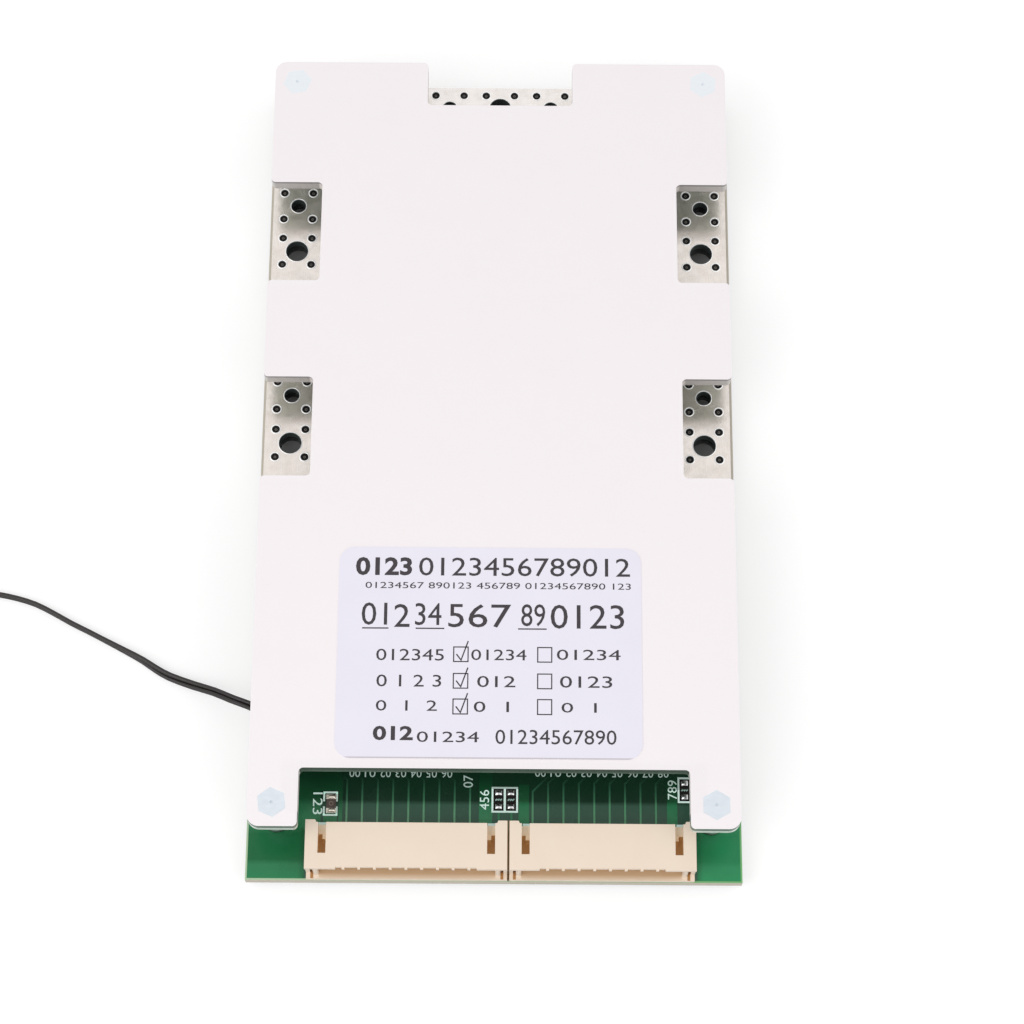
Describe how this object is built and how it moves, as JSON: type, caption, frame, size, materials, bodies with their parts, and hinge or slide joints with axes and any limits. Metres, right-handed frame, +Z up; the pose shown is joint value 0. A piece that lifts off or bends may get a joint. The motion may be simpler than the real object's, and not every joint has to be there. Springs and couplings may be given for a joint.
{
  "type": "battery management board",
  "caption": "Battery management board: green circuit board under an aluminium heatsink plate, with tinned busbars, side-entry balance headers and a temperature-sensor lead.",
  "frame": {"origin": "on the resting surface, under the middle of the circuit board", "axes": "+X to the right across the board, +Y towards the edge with the rear busbar, +Z up through the heatsink plate"},
  "size_m": [0.1197, 0.114, 0.0133],
  "materials": {
    "plate_aluminium": "fine bead-blasted aluminium with rounded edges",
    "standoff_zinc": "bright zinc plate with a faint blue cast",
    "screw_steel": "zinc-plated steel",
    "board_green": "green solder mask over glass-epoxy board",
    "tinned_copper": "tinned copper, brushed and lightly worn",
    "header_ivory": "ivory moulded nylon",
    "pin_tinned": "tinned brass pins",
    "solder": "bright solder",
    "lead_tinned": "tinned copper leads",
    "epoxy_black": "black moulded epoxy",
    "pad_silicone": "soft grey-blue thermal silicone",
    "resistor_black": "black glazed chip resistor with tinned ends",
    "label_white": "lilac-white coated paper label",
    "lead_black": "black insulated twin lead",
    "tie_white": "white nylon tie"
  },
  "bodies": {
    "root": {"heatsink_plate": "plate_aluminium", "standoff_rear_left": "standoff_zinc", "standoff_rear_right": "standoff_zinc", "standoff_front_left": "standoff_zinc", "standoff_front_right": "standoff_zinc", "standoff_screws": "screw_steel", "circuit_board": "board_green", "left_busbar": "tinned_copper", "right_busbar": "tinned_copper", "rear_busbar": "tinned_copper", "left_header_housing": "header_ivory", "right_header_housing": "header_ivory", "left_header_pins": "pin_tinned", "right_header_pins": "pin_tinned", "header_solder_joints": "solder", "left_mosfet_bodies": "epoxy_black", "left_mosfet_tabs": "lead_tinned", "left_mosfet_leads": "lead_tinned", "right_mosfet_bodies": "epoxy_black", "right_mosfet_tabs": "lead_tinned", "right_mosfet_leads": "lead_tinned", "left_thermal_pad": "pad_silicone", "right_thermal_pad": "pad_silicone", "shunt_resistors": "resistor_black", "monitor_chips": "epoxy_black", "monitor_chip_leads": "lead_tinned", "balance_resistors": "resistor_black", "balance_transistors": "epoxy_black", "balance_transistor_leads": "lead_tinned", "front_chip_resistor": "resistor_black", "jumper_solder": "solder", "product_label": "label_white", "sensor_solder": "solder", "sensor_lead": "lead_black", "sensor_lead_coil": "lead_black", "coil_tie": "tie_white", "sensor_bead": "epoxy_black"}
  },
  "joints": []
}
